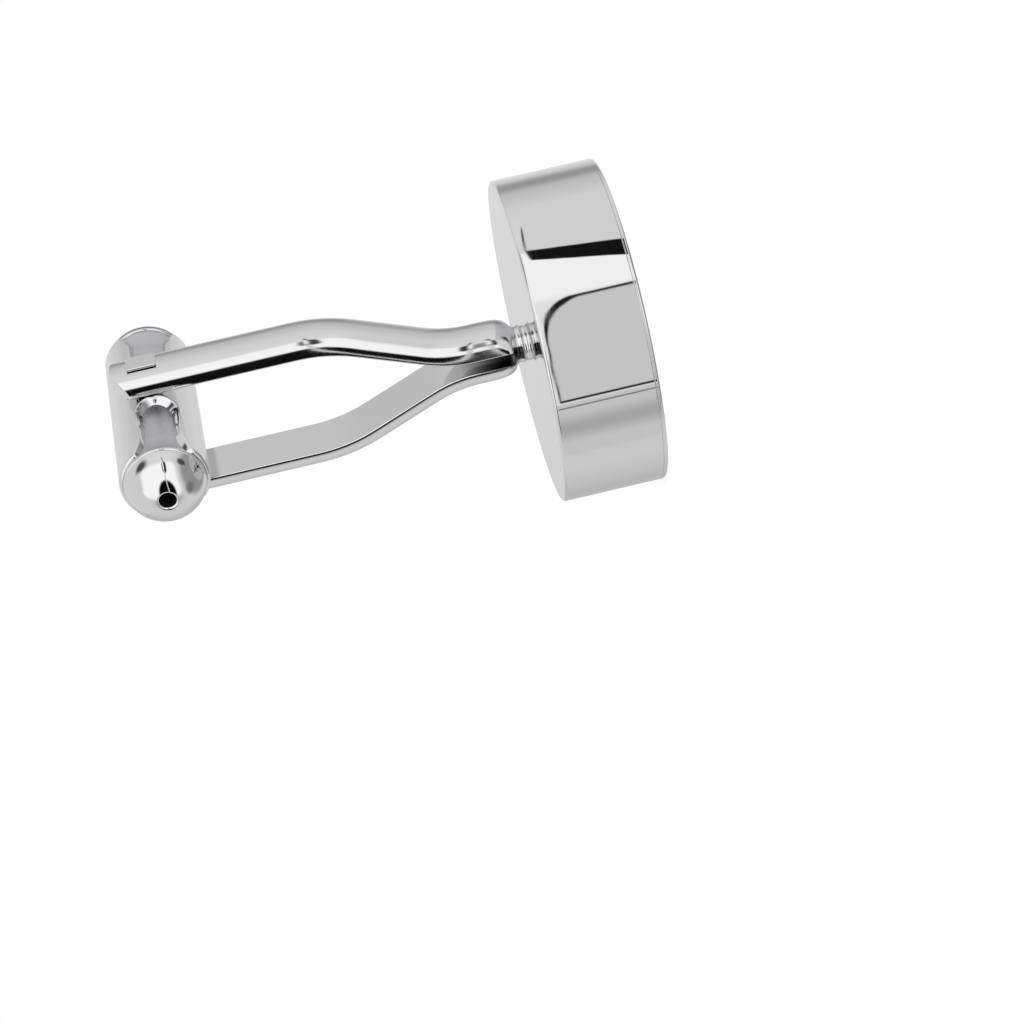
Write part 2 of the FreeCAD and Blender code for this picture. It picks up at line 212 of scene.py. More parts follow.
def walk(points, arcs=None, closed=True):
    """Steps along an outline of lines and arcs. Each edge is a list of (point, normal to the right)."""
    arcs = arcs or {}
    places = [Vector(point) for point in points]
    count = len(places) if closed else len(places) - 1
    edges = []
    for index in range(count):
        start, end = places[index], places[(index + 1) % len(places)]
        chord = end - start
        if index not in arcs:
            normal = Vector((chord.y, -chord.x)).normalized()
            steps = max(1, math.ceil(chord.length / LINE_STEP))
            edges.append([(start.lerp(end, step / steps), normal) for step in range(steps + 1)])
            continue
        radius = arcs[index]
        side = math.copysign(1.0, radius)
        across = Vector((-chord.y, chord.x)).normalized()
        reach = math.sqrt(max(radius * radius - chord.length_squared / 4, 0.0))
        centre = (start + end) / 2 + across * reach * side
        first = math.atan2(start.y - centre.y, start.x - centre.x)
        turn = 2 * math.asin(min(1.0, chord.length / 2 / abs(radius))) * side
        steps = max(LEAST_STEPS, math.ceil(abs(turn) / ARC_STEP))
        edge = []
        for step in range(steps + 1):
            angle = first + turn * step / steps
            ray = Vector((math.cos(angle), math.sin(angle)))
            edge.append((centre + ray * abs(radius), ray * side))
        edge[0] = (start, edge[0][1])
        edge[-1] = (end, edge[-1][1])
        edges.append(edge)
    return edges


def is_clockwise(edges):
    """True if the outline runs clockwise."""
    points = [point for edge in edges for point, _ in edge[:-1]]
    pairs = zip(points, points[1:] + points[:1])
    return sum(a.x * b.y - b.x * a.y for a, b in pairs) < 0


class Shell:
    """Faces with the exact normal of the surface at each corner, in millimetres."""

    def __init__(self):
        self.points = []
        self.faces = []
        self.normals = []

    def add_point(self, point):
        self.points.append(Vector(point))
        return len(self.points) - 1

    def add_face(self, corners, normals):
        """Adds a face, wound so that it faces the way its normals point."""
        corners, normals = list(corners), list(normals)
        loop = [self.points[corner] for corner in corners]
        facing = Vector((0, 0, 0))
        for a, b in zip(loop, loop[1:] + loop[:1]):
            facing += a.cross(b)
        if facing.dot(sum(normals, Vector((0, 0, 0)))) < 0:
            corners.reverse()
            normals.reverse()
        self.faces.append(corners)
        self.normals.append(normals)

    def mesh(self, name):
        """The shell as a mesh."""
        mesh = bpy.data.meshes.new(name)
        mesh.from_pydata(self.points, [], self.faces)
        mesh.polygons.foreach_set("use_smooth", [True] * len(self.faces))
        mesh.normals_split_custom_set([normal for face in self.normals for normal in face])
        return mesh


def upright(radius, height, angle):
    """A turned piece's point, with its axis along the stem."""
    return Vector((radius * math.cos(angle), radius * math.sin(angle), height))


def across_bar(radius, along, angle):
    """A turned piece's point, with its axis along the bar and the pivot at the origin."""
    return Vector((radius * math.cos(angle), along, radius * math.sin(angle)))


def along_pin(radius, along, angle):
    """A turned piece's point, with its axis along the pivot pin and the pivot at the origin."""
    return Vector((along, radius * math.cos(angle), radius * math.sin(angle)))


def turned(points, arcs, place, turns, sweep=(0.0, math.tau), shift=(0.0, 0.0, 0.0)):
    """Turns an outline of (radius, distance along the axis) about an axis."""
    edges = walk(points, arcs)
    outward = -1.0 if is_clockwise(edges) else 1.0
    swept = sweep[1] - sweep[0]
    full = abs(swept - math.tau) < TINY
    angles = [sweep[0] + swept * step / turns for step in range(turns if full else turns + 1)]
    moved = Vector(shift)
    shell = Shell()
    rings = {}

    def ring(point):
        key = (round(point.x, 6), round(point.y, 6))
        if key not in rings:
            if point.x < TINY:
                rings[key] = [shell.add_point(place(0.0, point.y, 0.0) + moved)] * len(angles)
            else:
                rings[key] = [shell.add_point(place(point.x, point.y, angle) + moved) for angle in angles]
        return rings[key]

    for edge in edges:
        for (start, first), (end, last) in zip(edge, edge[1:]):
            if start.x < TINY and end.x < TINY:
                continue
            lower, upper = ring(start), ring(end)
            for step in range(turns):
                following = (step + 1) % len(angles)
                corners = [lower[step], lower[following], upper[following], upper[step]]
                turned_by = [angles[step], angles[following], angles[following], angles[step]]
                flat = [first, first, last, last]
                normals = [place(n.x * outward, n.y * outward, a) for n, a in zip(flat, turned_by)]
                kept = [k for k in range(4) if corners[k] not in corners[:k]]
                shell.add_face([corners[k] for k in kept], [normals[k] for k in kept])
    if not full:
        for end, angle in ((0, angles[0]), (-1, angles[-1])):
            corners = [ring(point)[end] for edge in edges for point, _ in edge[:-1]]
            inside = place(1.0, 0.0, angle).cross(place(0.0, 1.0, angle))
            ahead = place(1.0, 0.0, angle + ARC_STEP) - place(1.0, 0.0, angle)
            normal = inside if inside.dot(ahead) * (1 if end else -1) > 0 else -inside
            shell.add_face(corners, [normal] * len(corners))
    return shell


def extruded(points, arcs, half, shift, edge_round=0.0):
    """A bar of one outline in the plane across the pin, along the pin, with rounded ends."""
    edges = walk(points, arcs)
    outward = -1.0 if is_clockwise(edges) else 1.0
    shell = Shell()
    moved = Vector(shift)
    reach = max(point.length for edge in edges for point, _ in edge)
    profile = [(-half, 0.0, 0.0), (half, 0.0, 0.0)]
    if edge_round > 0:
        quarter = [math.pi / 2 * step / EDGE_STEPS for step in range(EDGE_STEPS + 1)]
        near = [(-half + edge_round * (1 - math.sin(t)), edge_round * (1 - math.cos(t)), -math.sin(t))
                for t in reversed(quarter)]
        profile = near + [(-x, inset, -lean) for x, inset, lean in reversed(near)]

    def level(x, inset):
        shrink = (reach - inset) / reach
        return [[shell.add_point(Vector((x, point.x * shrink, point.y * shrink)) + moved)
                 for point, _ in edge[:-1]] for edge in edges]

    def corner_normal(normal, lean):
        flat = math.sqrt(max(1 - lean * lean, 0.0)) * outward
        return Vector((lean, normal.x * flat, normal.y * flat))

    levels = [level(x, inset) for x, inset, _ in profile]
    leans = [lean for _, _, lean in profile]
    for low, high, low_lean, high_lean in zip(levels, levels[1:], leans, leans[1:]):
        for index, edge in enumerate(edges):
            low_row = low[index] + [low[(index + 1) % len(edges)][0]]
            high_row = high[index] + [high[(index + 1) % len(edges)][0]]
            for step in range(len(edge) - 1):
                first, last = edge[step][1], edge[step + 1][1]
                shell.add_face([low_row[step], low_row[step + 1], high_row[step + 1], high_row[step]],
                               [corner_normal(first, low_lean), corner_normal(last, low_lean),
                                corner_normal(last, high_lean), corner_normal(first, high_lean)])
    for rows, facing in ((levels[0], -1.0), (levels[-1], 1.0)):
        corners = [corner for row in rows for corner in row]
        shell.add_face(corners, [Vector((facing, 0, 0))] * len(corners))
    return shell


# A corner's normal is read this share of the way into its face, from a surface this near, in millimetres,
# that faces the same way at least this well.
CORNER_INSET = 0.05
SURFACE_REACH = 0.002
SURFACE_FACING = 0.8


class SurfaceNormals:
    """Looks up the exact normal of a source mesh at a point of its surface."""

    def __init__(self, mesh, sign):
        mesh.calc_loop_triangles()
        self.points = [vertex.co.copy() for vertex in mesh.vertices]
        self.triangles = [tuple(triangle.vertices) for triangle in mesh.loop_triangles]
        corner_normals = [Vector(item.vector) * sign for item in mesh.corner_normals]
        self.normals = [[corner_normals[loop] for loop in triangle.loops] for triangle in mesh.loop_triangles]
        self.tree = BVHTree.FromPolygons(self.points, self.triangles)

    def at(self, inside, corner, facing):
        """The normal at a corner, read from the triangle that holds a point just inside the face."""
        _, _, index, distance = self.tree.find_nearest(inside, SURFACE_REACH)
        if index is None:
            return None
        a, b, c = (self.points[point] for point in self.triangles[index])
        whole = (b - a).cross(c - a)
        area = whole.length_squared
        if area == 0.0:
            return None
        v = (c - b).cross(corner - b).dot(whole) / area
        w = (a - c).cross(corner - c).dot(whole) / area
        first, second, third = self.normals[index]
        normal = (first * v + second * w + third * (1 - v - w)).normalized()
        return (distance, normal) if normal.dot(facing) > SURFACE_FACING else None


def hidden_object(name, mesh):
    """An object that helps to make a piece and is removed afterwards."""
    helper = bpy.data.objects.new(name, mesh)
    bpy.context.scene.collection.objects.link(helper)
    return helper


def remove(helper):
    """Removes a helper with its data."""
    data = helper.data
    bpy.data.objects.remove(helper)
    (bpy.data.meshes if isinstance(data, bpy.types.Mesh) else bpy.data.curves).remove(data)


def carved(name, mesh, cutters):
    """Cuts closed cutters out of a mesh, and gives each new corner the normal of the surface it lies on."""
    sources = [SurfaceNormals(mesh, 1.0)] + [SurfaceNormals(cutter, -1.0) for cutter in cutters]
    blank = hidden_object(name + "_blank", mesh)
    tools = [hidden_object(f"{name}_cutter", cutter) for cutter in cutters]
    for tool in tools:
        cut = blank.modifiers.new(tool.name, "BOOLEAN")
        cut.operation = "DIFFERENCE"
        cut.solver = "EXACT"
        cut.object = tool
    graph = bpy.context.evaluated_depsgraph_get()
    result = bpy.data.meshes.new_from_object(blank.evaluated_get(graph), depsgraph=graph)
    result.name = name
    for helper in [blank] + tools:
        remove(helper)
    normals = []
    for polygon in result.polygons:
        facing, centre = polygon.normal, polygon.center
        for vertex in polygon.vertices:
            corner = result.vertices[vertex].co
            inside = corner.lerp(centre, CORNER_INSET)
            found = [source.at(inside, corner, facing) for source in sources]
            found = [item for item in found if item]
            normals.append(min(found, key=lambda item: item[0])[1] if found else facing)
    result.polygons.foreach_set("use_smooth", [True] * len(result.polygons))
    return result, normals


def add_piece(mesh, material, body, node, normals=None):
    """Makes a mesh in millimetres a piece of the cufflink that stands for a node of the frame."""
    if normals is None:
        normals = [Vector(item.vector) for item in mesh.corner_normals]
    mesh.transform(Matrix.Scale(MILLIMETRE, 4))
    mesh.normals_split_custom_set(normals)
    mesh.materials.clear()
    mesh.materials.append(material)
    piece = bpy.data.objects.new(mesh.name, mesh)
    bpy.context.scene.collection.objects.link(piece)
    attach(piece, body)
    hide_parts(node)
    return piece


def add_node(tree, kind, settings=None, inputs=None):
    """Adds a node with its settings, values and links. A link is a socket, or a node for its first output."""
    node = tree.nodes.new(kind)
    for key, value in (settings or {}).items():
        setattr(node, key, value)
    for key, value in (inputs or {}).items():
        socket = node.inputs[key]
        if isinstance(value, bpy.types.Node):
            value = value.outputs[0]
        if isinstance(value, bpy.types.NodeSocket):
            tree.links.new(value, socket)
        else:
            socket.default_value = value
    return node


def new_material(name):
    """An empty node material and its tree."""
    material = bpy.data.materials.new(name)
    material.use_nodes = True
    material.node_tree.nodes.clear()
    return material, material.node_tree


def tint(key):
    """A colour of the finishes, opaque."""
    return (*getattr(bpy.context.scene.cufflink_finish, key), 1.0)


def repeats(millimetres):
    """How often a pattern of this size repeats in a metre."""
    return 1 / (millimetres * MILLIMETRE)


def mirror_plating(slot=None):
    """Rhodium-coloured plating over polished brass, buffed to a mirror.

    It gives clean, neutral reflections. The buffing wheel leaves the surface very slightly wavy, a wave each
    2.4 mm, and the finest haze comes and goes over 1.1 mm. A piece with a narrow slot is tumbled instead, so
    that its mirror is a little softer. The slot is given by its half width, its end and its mouth in metres:
    in it the base colour darkens toward the end, which is painted shade.
    """
    name = "tumbled_rhodium_plating_dull_in_slot" if slot else "buffed_rhodium_plating"
    found = bpy.data.materials.get(name)
    if found:
        return found
    material, tree = new_material(name)
    place = add_node(tree, "ShaderNodeTexCoord").outputs["Object"]
    sharpest, softest = (0.07, 0.10) if slot else (0.004, 0.02)
    waves = add_node(tree, "ShaderNodeTexNoise", inputs={
        "Vector": place, "Scale": repeats(2.38), "Detail": 1.0, "Roughness": 0.4})
    haze = add_node(tree, "ShaderNodeTexNoise", inputs={
        "Vector": place, "Scale": repeats(1.11), "Detail": 4.0, "Roughness": 0.6})
    polish = add_node(tree, "ShaderNodeMapRange", inputs={
        "Value": haze, "From Min": 0.35, "From Max": 0.7, "To Min": sharpest, "To Max": softest})
    wavy = add_node(tree, "ShaderNodeBump", inputs={
        "Strength": 0.5, "Distance": 0.002 * MILLIMETRE, "Height": waves})
    metal = add_node(tree, "ShaderNodeBsdfPrincipled", inputs={
        "Base Color": tint("plating"), "Metallic": 1.0, "Roughness": polish, "Normal": wavy})
    add_node(tree, "ShaderNodeOutputMaterial", inputs={"Surface": metal})
    if slot:
        # Painted shade: in the slot the base colour runs from the plating colour to the dark slot colour
        # toward the slot's end.
        half_width, end, mouth = slot
        parts = add_node(tree, "ShaderNodeSeparateXYZ", inputs={"Vector": place})
        across = add_node(tree, "ShaderNodeMath", {"operation": "ABSOLUTE"}, {0: parts.outputs["X"]})
        within = add_node(tree, "ShaderNodeMath", {"operation": "LESS_THAN"}, {0: across, 1: half_width})
        depth = add_node(tree, "ShaderNodeMapRange", {"interpolation_type": "SMOOTHSTEP"}, {
            "Value": parts.outputs["Z"], "From Min": mouth, "From Max": end})
        dull = add_node(tree, "ShaderNodeMath", {"operation": "MULTIPLY"}, {0: within, 1: depth})
        shade = add_node(tree, "ShaderNodeMix", {"data_type": "RGBA"}, {
            0: dull, 6: tint("plating"), 7: tint("dull")})
        tree.links.new(shade.outputs[2], metal.inputs["Base Color"])
    return material


def lined_metal(name, shade, spacing, detail, rough, groove=0.0):
    """Metal with fine lines. Their spacing along each axis and their depth are in millimetres."""
    material, tree = new_material(name)
    place = add_node(tree, "ShaderNodeTexCoord").outputs["Object"]
    stretched = add_node(tree, "ShaderNodeMapping", inputs={
        "Vector": place, "Scale": [repeats(size) for size in spacing]})
    lines = add_node(tree, "ShaderNodeTexNoise", inputs={"Vector": stretched, "Scale": 1.0, "Detail": detail})
    dull = add_node(tree, "ShaderNodeMapRange", inputs={
        "Value": lines, "To Min": rough[0], "To Max": rough[1]})
    metal = add_node(tree, "ShaderNodeBsdfPrincipled", inputs={
        "Base Color": tint(shade), "Metallic": 1.0, "Roughness": dull})
    if groove:
        grooves = add_node(tree, "ShaderNodeBump", inputs={
            "Strength": 0.4, "Distance": groove * MILLIMETRE, "Height": lines})
        tree.links.new(grooves.outputs["Normal"], metal.inputs["Normal"])
    add_node(tree, "ShaderNodeOutputMaterial", inputs={"Surface": metal})
    return material


def satin_plating():
    """Plating over brass as the lathe left it, never buffed.

    It gives a soft, darker grey with no clear reflections, and fine turning lines run round the axis of the
    bar, a twentieth of a millimetre apart.
    """
    return lined_metal("satin_plating_on_turned_brass", "satin", (3.33, 0.05, 3.33), 2.0, (0.28, 0.42), 0.003)


def tip_hole_shade():
    """The inside of the tip holes, drilled in brass, coloured near black as painted shade so that the holes
    look black.
    """
    name = "tarnished_drilled_brass"
    found = bpy.data.materials.get(name)
    if found:
        return found
    material, tree = new_material(name)
    place = add_node(tree, "ShaderNodeTexCoord").outputs["Object"]
    hole_shade_mottle = add_node(tree, "ShaderNodeTexNoise", inputs={
        "Vector": place, "Scale": repeats(0.25), "Detail": 3.0})
    # Painted shade: the holes' colour is mottled between black and the dark hole colour.
    shade = add_node(tree, "ShaderNodeMix", {"data_type": "RGBA"}, {
        0: hole_shade_mottle, 6: (0.0, 0.0, 0.0, 1.0), 7: tint("drilled")})
    brass = add_node(tree, "ShaderNodeBsdfPrincipled", inputs={
        "Base Color": shade.outputs[2], "Metallic": 0.3, "Roughness": 0.7})
    add_node(tree, "ShaderNodeOutputMaterial", inputs={"Surface": brass})
    return material


def spring_strip():
    """Cold-rolled spring steel, bright, with the fine lines of the rolling along the strip."""
    return lined_metal("cold_rolled_spring_steel", "spring", (0.111, 2.0, 2.0), 3.0, (0.22, 0.42))


def pin_section(s):
    """The pin's section: an oblong whose corners are turned to a circle."""
    flat, side, corner = s.pin_flats / 2, s.pin_sides / 2, s.pin_corner
    flat_end = math.sqrt(corner * corner - flat * flat)
    side_end = math.sqrt(corner * corner - side * side)
    points = [(side, -side_end), (side, side_end), (flat_end, flat), (-flat_end, flat),
              (-side, side_end), (-side, -side_end), (-flat_end, -flat), (flat_end, -flat)]
    return points, {1: corner, 3: corner, 5: corner, 7: corner}


def pin_centre(s):
    """The middle of the pivot pin."""
    return (0.0, 0.0, s.pin_height)


def bar_centre(s):
    """The middle of the toggle bar, which rests near one arm."""
    return (s.bar_slide, 0.0, s.pin_height)


def arm_route(s):
    """The line that the inner face of the strip follows, from one arm end round to the other."""
    gap, slot = s.arm_gap, s.slot_gap
    rise, run = s.splay_rise, gap - slot
    slope = math.hypot(rise, run)
    half_turn = run / (slope + rise)
    bend, arm = s.splay_bend * half_turn, s.arm_bend * half_turn
    up, out = rise / slope, run / slope
    low, high = s.splay_start, s.splay_end
    right = [(gap, s.pin_height + s.arm_end * OVERCUT), (gap, high + arm), (gap - arm * out, high - arm * up),
             (slot + bend * out, low + bend * up), (slot, low - bend), (slot, s.slot_end + slot)]
    left = [(-x, y) for x, y in reversed(right)]
    arcs = {1: -s.arm_bend, 3: s.splay_bend, 5: -slot, 6: -slot, 8: s.splay_bend, 10: -s.arm_bend}
    return right + [(0.0, s.slot_end)] + left, arcs


def strip_section(s):
    """The strip's half-round section as shares of its depth and width, its inner face on the route."""
    half, edge, depth = s.strip_width / 2, s.strip_edge, s.strip_depth
    crown, turn = s.strip_crown, s.strip_round
    shoulder = half - turn
    span = depth - crown - edge
    side_arc = (span * span + turn * turn) / (turn * 2)
    crown_arc = (shoulder * shoulder + crown * crown) / (crown * 2)
    brink = half - edge
    support = edge / 4
    points = [(0.0, -brink + support), (0.0, -brink), (edge, -half), (depth - crown, -shoulder),
              (depth - crown, shoulder), (edge, half), (0.0, brink), (0.0, brink - support)]
    arcs = {1: edge, 2: side_arc, 3: crown_arc, 4: side_arc, 5: edge}
    samples = [point for step in walk(points, arcs) for point, _ in step[:-1]]
    return [(-point.x / depth, point.y / s.strip_width) for point in samples]


def poly_curve(name, points, closed):
    """A curve object through points in its XY plane."""
    curve = bpy.data.curves.new(name, "CURVE")
    curve.dimensions = "3D"
    spline = curve.splines.new("POLY")
    spline.points.add(len(points) - 1)
    for target, (x, y) in zip(spline.points, points):
        target.co = (x, y, 0.0, 1.0)
    spline.use_cyclic_u = closed
    return hidden_object(name, curve)


def strip_sweep_tree():
    """Geometry nodes that sweep a strip's section along a route and stand it upright."""
    tree = bpy.data.node_groups.new("strip_sweep", "GeometryNodeTree")
    tree.interface.new_socket("Geometry", in_out="INPUT", socket_type="NodeSocketGeometry")
    for name, kind in (("Route", "NodeSocketObject"), ("Section", "NodeSocketObject"),
                       ("Strip width", "NodeSocketFloat"), ("Strip depth", "NodeSocketFloat"),
                       ("Finish", "NodeSocketMaterial")):
        tree.interface.new_socket(name, in_out="INPUT", socket_type=kind)
    tree.interface.new_socket("Geometry", in_out="OUTPUT", socket_type="NodeSocketGeometry")
    given = add_node(tree, "NodeGroupInput")
    route = add_node(tree, "GeometryNodeObjectInfo", inputs={"Object": given.outputs["Route"]})
    section = add_node(tree, "GeometryNodeObjectInfo", inputs={"Object": given.outputs["Section"]})
    level = add_node(tree, "GeometryNodeSetCurveNormal", {"mode": "Z_UP"},
                     {"Curve": route.outputs["Geometry"]})
    across = add_node(tree, "ShaderNodeCombineXYZ", inputs={
        "X": given.outputs["Strip depth"], "Y": given.outputs["Strip width"], "Z": 1.0})
    sized = add_node(tree, "GeometryNodeTransform", inputs={
        "Geometry": section.outputs["Geometry"], "Scale": across})
    strip = add_node(tree, "GeometryNodeCurveToMesh", inputs={
        "Curve": level, "Profile Curve": sized, "Fill Caps": True})
    stood = add_node(tree, "GeometryNodeTransform", inputs={
        "Geometry": strip, "Rotation": (math.pi / 2, 0.0, 0.0)})
    plain = add_node(tree, "GeometryNodeRealizeInstances", inputs={"Geometry": stood})
    plated = add_node(tree, "GeometryNodeSetMaterial", inputs={
        "Geometry": plain, "Material": given.outputs["Finish"]})
    result = add_node(tree, "NodeGroupOutput")
    tree.links.new(plated.outputs["Geometry"], result.inputs["Geometry"])
    return tree


# How closely the fork keeps to its foot's outline, and the least angle of a sharp edge.
FOOT_BLEND = 8
SHARP_ANGLE = math.radians(40)


def foot_share(s, away, height, rise):
    """The share that the fork keeps of a reach from its axis: a grooved foot on the stud, then a shoulder."""
    foot, limit = s.foot_height, s.stud_collar
    if height <= foot:
        limit -= s.foot_groove * math.sin(math.pi * max(height, 0.0) / foot)
    else:
        wide = math.hypot(s.strip_width / 2, s.slot_gap + s.strip_depth)
        limit += (wide - limit) * (height - foot) / rise
    return (1 + (away / limit) ** FOOT_BLEND) ** (-1 / FOOT_BLEND)


def swept_strip(s, finish):
    """The folded strip as a plain closed mesh, in millimetres, narrowed at its fold to a round foot."""
    points, arcs = arm_route(s)
    steps = walk(points, arcs, closed=False)
    line = [tuple(point) for step in steps for point, _ in step[:-1]] + [tuple(steps[-1][-1][0])]
    route = poly_curve("strip_route", line, False)
    section = poly_curve("strip_section", strip_section(s), True)
    holder = hidden_object("strip", bpy.data.meshes.new("strip"))
    tree = strip_sweep_tree()
    sweep = holder.modifiers.new("strip_sweep", "NODES")
    sweep.node_group = tree
    given = {"Route": route, "Section": section, "Strip width": s.strip_width,
             "Strip depth": s.strip_depth, "Finish": finish}
    for item in tree.interface.items_tree:
        if item.in_out == "INPUT" and item.name in given:
            sweep[item.identifier] = given[item.name]
    graph = bpy.context.evaluated_depsgraph_get()
    mesh = bpy.data.meshes.new_from_object(holder.evaluated_get(graph), depsgraph=graph)
    holder.modifiers.remove(sweep)
    for helper in (holder, route, section):
        remove(helper)
    work = bmesh.new()
    work.from_mesh(mesh)
    bmesh.ops.remove_doubles(work, verts=work.verts, dist=MERGE)
    bmesh.ops.recalc_face_normals(work, faces=work.faces)
    for face in work.faces:
        face.smooth = len(face.verts) == 4
    for vertex in work.verts:
        away, height = math.hypot(vertex.co.x, vertex.co.y), vertex.co.z - s.fork_seat
        vertex.co.x *= foot_share(s, away, height, s.face_rise)
        vertex.co.y *= foot_share(s, away, height, s.side_rise)
    work.to_mesh(mesh)
    work.free()
    mesh.set_sharp_from_angle(angle=SHARP_ANGLE)
    return mesh


class CUFFLINK_OT_head(bpy.types.Operator):
    """Turn the face plate and the drawn cup of the head"""

    bl_idname = "cufflink.head"
    bl_label = "Head"

    def execute(self, context):
        s, turns = sizes(), context.scene.cufflink_finish.turns
        radius, bevel, seam, rim = s.head_radius, s.face_bevel, s.seam_edge, s.face_rim
        plate = [(0.0, 0.0), (radius - bevel, 0.0), (radius, bevel), (radius, rim - seam),
                 (radius - seam, rim), (s.cup_bore, rim), (s.cup_bore, s.face_plate), (0.0, s.face_plate)]
        shell = turned(plate, {1: bevel, 3: seam}, upright, turns)
        add_piece(shell.mesh("face_plate_polished"), mirror_plating(), "shank", "face_plate")
        back, edge = s.head_height, s.back_edge
        cup = [(s.stud_shank, s.base_inside), (s.cup_bore, s.base_inside), (s.cup_bore, rim),
               (radius - seam, rim), (radius, rim + seam), (radius, back - edge), (radius - edge, back),
               (s.stud_shank, back)]
        shell = turned(cup, {3: seam, 5: edge}, upright, turns)
        add_piece(shell.mesh("head_cup_polished"), mirror_plating(), "shank", "head_cup")
        return {"FINISHED"}


class CUFFLINK_OT_stud(bpy.types.Operator):
    """Turn the stud between the head and the fork"""

    bl_idname = "cufflink.stud"
    bl_label = "Neck stud"

    def execute(self, context):
        s, turns = sizes(), context.scene.cufflink_finish.turns
        back, seat, inside = s.head_height, s.fork_seat, s.base_inside
        shank, foot, collar = s.stud_shank, s.stud_foot, s.stud_collar
        half_chord, hollow = math.hypot(collar - foot, seat - back) / 2, s.stud_hollow
        hollow_arc = (half_chord * half_chord + hollow * hollow) / (hollow * 2)
        outline = [(0.0, inside - s.peen_height), (shank, inside - s.peen_height), (s.stud_peen, inside),
                   (shank, inside), (shank, back), (foot, back), (collar, seat),
                   (s.tenon_radius, seat), (s.tenon_radius, seat + s.tenon_length),
                   (0.0, seat + s.tenon_length)]
        shell = turned(outline, {5: -hollow_arc}, upright, turns // 2)
        add_piece(shell.mesh("neck_stud_polished"), mirror_plating(), "shank", "neck_stud")
        return {"FINISHED"}


class CUFFLINK_OT_fork(bpy.types.Operator):
    """Sweep the fork's strip along its route, seat it on the stud and round its arm ends"""

    bl_idname = "cufflink.fork"
    bl_label = "Fork"

    def execute(self, context):
        s, turns = sizes(), context.scene.cufflink_finish.turns
        # The slot's width, end and mouth, where the plating's base colour is darkened toward the end as
        # painted shade.
        spare = s.strip_edge / 2
        slot = (s.slot_gap + spare, s.slot_end + spare, s.splay_start - spare)
        finish = mirror_plating([size * MILLIMETRE for size in slot])
        strip = swept_strip(s, finish)
        seat, below = s.fork_seat, s.fork_seat - s.strip_depth * OVERCUT
        tenon, top = s.tenon_radius, seat + s.tenon_length
        neck = turned([(0.0, below), (s.strip_width, below), (s.strip_width, seat), (tenon, seat),
                       (tenon, top), (0.0, top)], {}, upright, turns)
        end, edge = s.arm_end, s.arm_edge
        inner, outer = s.arm_gap, s.arm_gap + s.strip_depth
        clear, far = 0.4, s.arm_end * 2
        cutters = [neck.mesh("neck_cutter")]
        for side in (1, -1):
            outline = [(far, inner - clear), (end - edge, inner - clear), (end - edge, inner),
                       (end, inner + edge), (end, outer - edge), (end - edge, outer),
                       (end - edge, outer + clear), (far, outer + clear)]
            outline = [(radius, along * side) for radius, along in outline]
            rounded = turned(outline, {2: edge * side, 4: edge * side}, along_pin, turns // 2,
                             (0.0, math.pi), pin_centre(s))
            cutters.append(rounded.mesh("end_cutter"))
        hole, arcs = pin_section(s)
        cutters.append(extruded(hole, arcs, outer + clear, pin_centre(s)).mesh("pin_hole_cutter"))
        mesh, normals = carved("fork_polished", strip, cutters)
        add_piece(mesh, finish, "shank", "fork", normals=normals)
        return {"FINISHED"}


class CUFFLINK_OT_pin(bpy.types.Operator):
    """Shape the flat-sided pin with its rounded ends"""

    bl_idname = "cufflink.pin"
    bl_label = "Pivot pin"

    def execute(self, context):
        s = sizes()
        outline, arcs = pin_section(s)
        half = s.arm_gap + s.strip_depth + s.pin_proud
        shell = extruded(outline, arcs, half, pin_centre(s), s.pin_edge)
        add_piece(shell.mesh("pivot_pin_polished"), mirror_plating(), "shank", "pivot_pin")
        return {"FINISHED"}


BORE_TURNS = 96


def bore_cutter(s):
    """The round hole in the bar that the pin's corners turn in."""
    radius, reach = s.pin_corner + s.pin_play, s.bar_radius * OVERCUT
    outline = [(0.0, -reach), (radius, -reach), (radius, reach), (0.0, reach)]
    return turned(outline, {}, along_pin, BORE_TURNS, shift=bar_centre(s)).mesh("bore_cutter")


def smooth_step(value):
    """Runs from 0 to 1 with level ends."""
    share = min(max(value, 0.0), 1.0)
    return share * share * (3 - 2 * share)


def window_lip(s, along, across):
    """How far a point of the sleeve lies inside a window, and how wide the rolled lip is there."""
    arch, spring, half = s.arch_half, s.arch_start + s.arch_half, s.bar_half
    along, across = abs(along), across + s.window_drop
    if along < spring:
        away = math.hypot(spring - along, across)
        turn = (spring - along) / away if away else 1.0
        return arch - away, s.side_roll + (s.arch_roll - s.side_roll) * turn
    flare = max(along - half + s.bell_length, 0.0)
    bell = s.bell_arc - math.sqrt(s.bell_arc ** 2 - flare * flare)
    return arch + bell - abs(across), s.side_roll


def sleeve_radius(s, along, angle):
    """The sleeve's radius: a tube with rounded ends, rolled down to the core round windows and pin bores."""
    half, edge, radius = s.bar_half, s.bar_edge, s.bar_radius
    into_edge = min(max((abs(along) - half + edge) / edge, 0.0), 1.0)
    outside = radius - edge * (1 - math.sqrt(1 - into_edge * into_edge))
    across = radius * math.sin(angle)
    floor = s.sleeve_bore - s.lip_sink
    inside, roll = window_lip(s, along, across)
    sunk = outside - (outside - floor) * smooth_step(inside / roll + 0.5)
    outside_bore = math.hypot(along, across) - s.pin_corner - s.pin_play
    return floor + (sunk - floor) * smooth_step(outside_bore / s.bore_lip)


def grid_lines(stops):
    """Places along a line, from stops of (place, step to the next stop)."""
    places = []
    for (start, step), (end, _) in zip(stops, stops[1:]):
        count = max(1, round((end - start) / step))
        places += [start + (end - start) * index / count for index in range(count)]
    return places + [stops[-1][0]]


# The sleeve's grid: steps along the bar in millimetres, and (angle, step) round it in degrees, fine where the
# windows and the pin bores are. Slopes are taken over the smallest step.
FINE_STEP = 0.06
PLAIN_STEP = 0.11
BRINK_STEP = 0.03
SLOPE_STEP = 1e-4
ROUND_STEPS = ((-62.0, 1.4), (42.0, 3.0), (138.0, 1.4), (242.0, 3.0), (298.0, 3.0))


